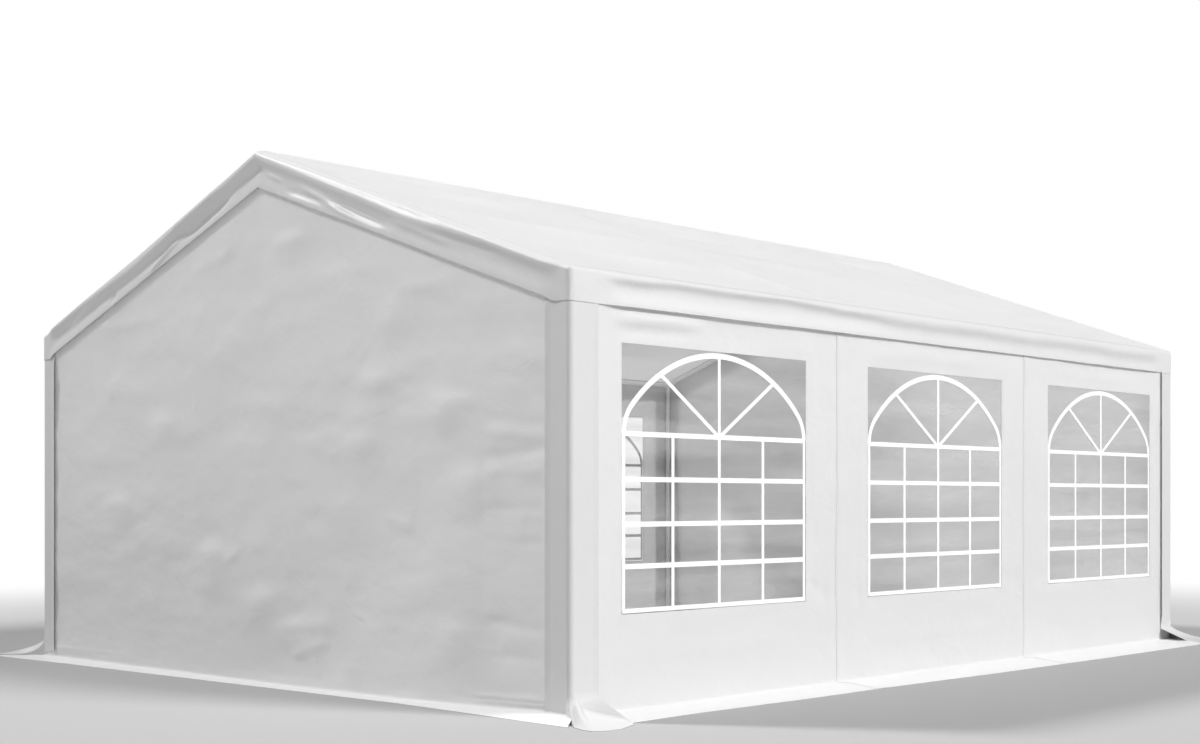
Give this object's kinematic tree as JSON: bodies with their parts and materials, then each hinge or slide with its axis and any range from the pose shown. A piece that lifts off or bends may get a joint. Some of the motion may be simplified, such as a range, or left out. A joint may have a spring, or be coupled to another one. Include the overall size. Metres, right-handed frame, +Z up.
{
  "type": "marquee tent",
  "caption": "Closed party marquee with a gable roof on a steel tube frame, plain gable walls and arched clear windows along both sides.",
  "frame": {"origin": "centre of the footprint, on the ground", "axes": "+X along the ridge towards the rear gable, +Y towards the left side wall, +Z up"},
  "size_m": [6.5726, 5.7146, 2.997],
  "materials": {
    "frame_steel": "galvanised",
    "cover_cloth": "white coated cloth, satin",
    "wall_cloth": "white coated cloth, satin",
    "clear_film": "clear flexible film",
    "window_bar": "white welded strip",
    "eyelet_metal": "pressed eyelet",
    "elastic_tie": "white elastic cord"
  },
  "bodies": {
    "root": {"right_leg_1": "frame_steel", "right_leg_2": "frame_steel", "right_leg_3": "frame_steel", "right_leg_4": "frame_steel", "left_leg_1": "frame_steel", "left_leg_2": "frame_steel", "left_leg_3": "frame_steel", "left_leg_4": "frame_steel", "truss_1": "frame_steel", "truss_2": "frame_steel", "truss_3": "frame_steel", "truss_4": "frame_steel", "ridge_purlin_1": "frame_steel", "ridge_purlin_2": "frame_steel", "ridge_purlin_3": "frame_steel", "right_eave_purlin_1": "frame_steel", "right_eave_purlin_2": "frame_steel", "right_eave_purlin_3": "frame_steel", "right_mid_purlin_1": "frame_steel", "right_mid_purlin_2": "frame_steel", "right_mid_purlin_3": "frame_steel", "left_eave_purlin_1": "frame_steel", "left_eave_purlin_2": "frame_steel", "left_eave_purlin_3": "frame_steel", "left_mid_purlin_1": "frame_steel", "left_mid_purlin_2": "frame_steel", "left_mid_purlin_3": "frame_steel", "roof_cover": "cover_cloth", "front_gable_wall": "wall_cloth", "rear_gable_wall": "wall_cloth", "right_wall_1": "wall_cloth", "right_window_1": "clear_film", "right_wall_2": "wall_cloth", "right_window_2": "clear_film", "right_wall_3": "wall_cloth", "right_window_3": "clear_film", "left_wall_1": "wall_cloth", "left_window_1": "clear_film", "left_wall_2": "wall_cloth", "left_window_2": "clear_film", "left_wall_3": "wall_cloth", "left_window_3": "clear_film", "front_right_corner_strip": "wall_cloth", "front_left_corner_strip": "wall_cloth", "rear_right_corner_strip": "wall_cloth", "rear_left_corner_strip": "wall_cloth", "right_ground_flap": "wall_cloth", "left_ground_flap": "wall_cloth", "front_ground_flap": "wall_cloth", "rear_ground_flap": "wall_cloth"}
  },
  "joints": []
}
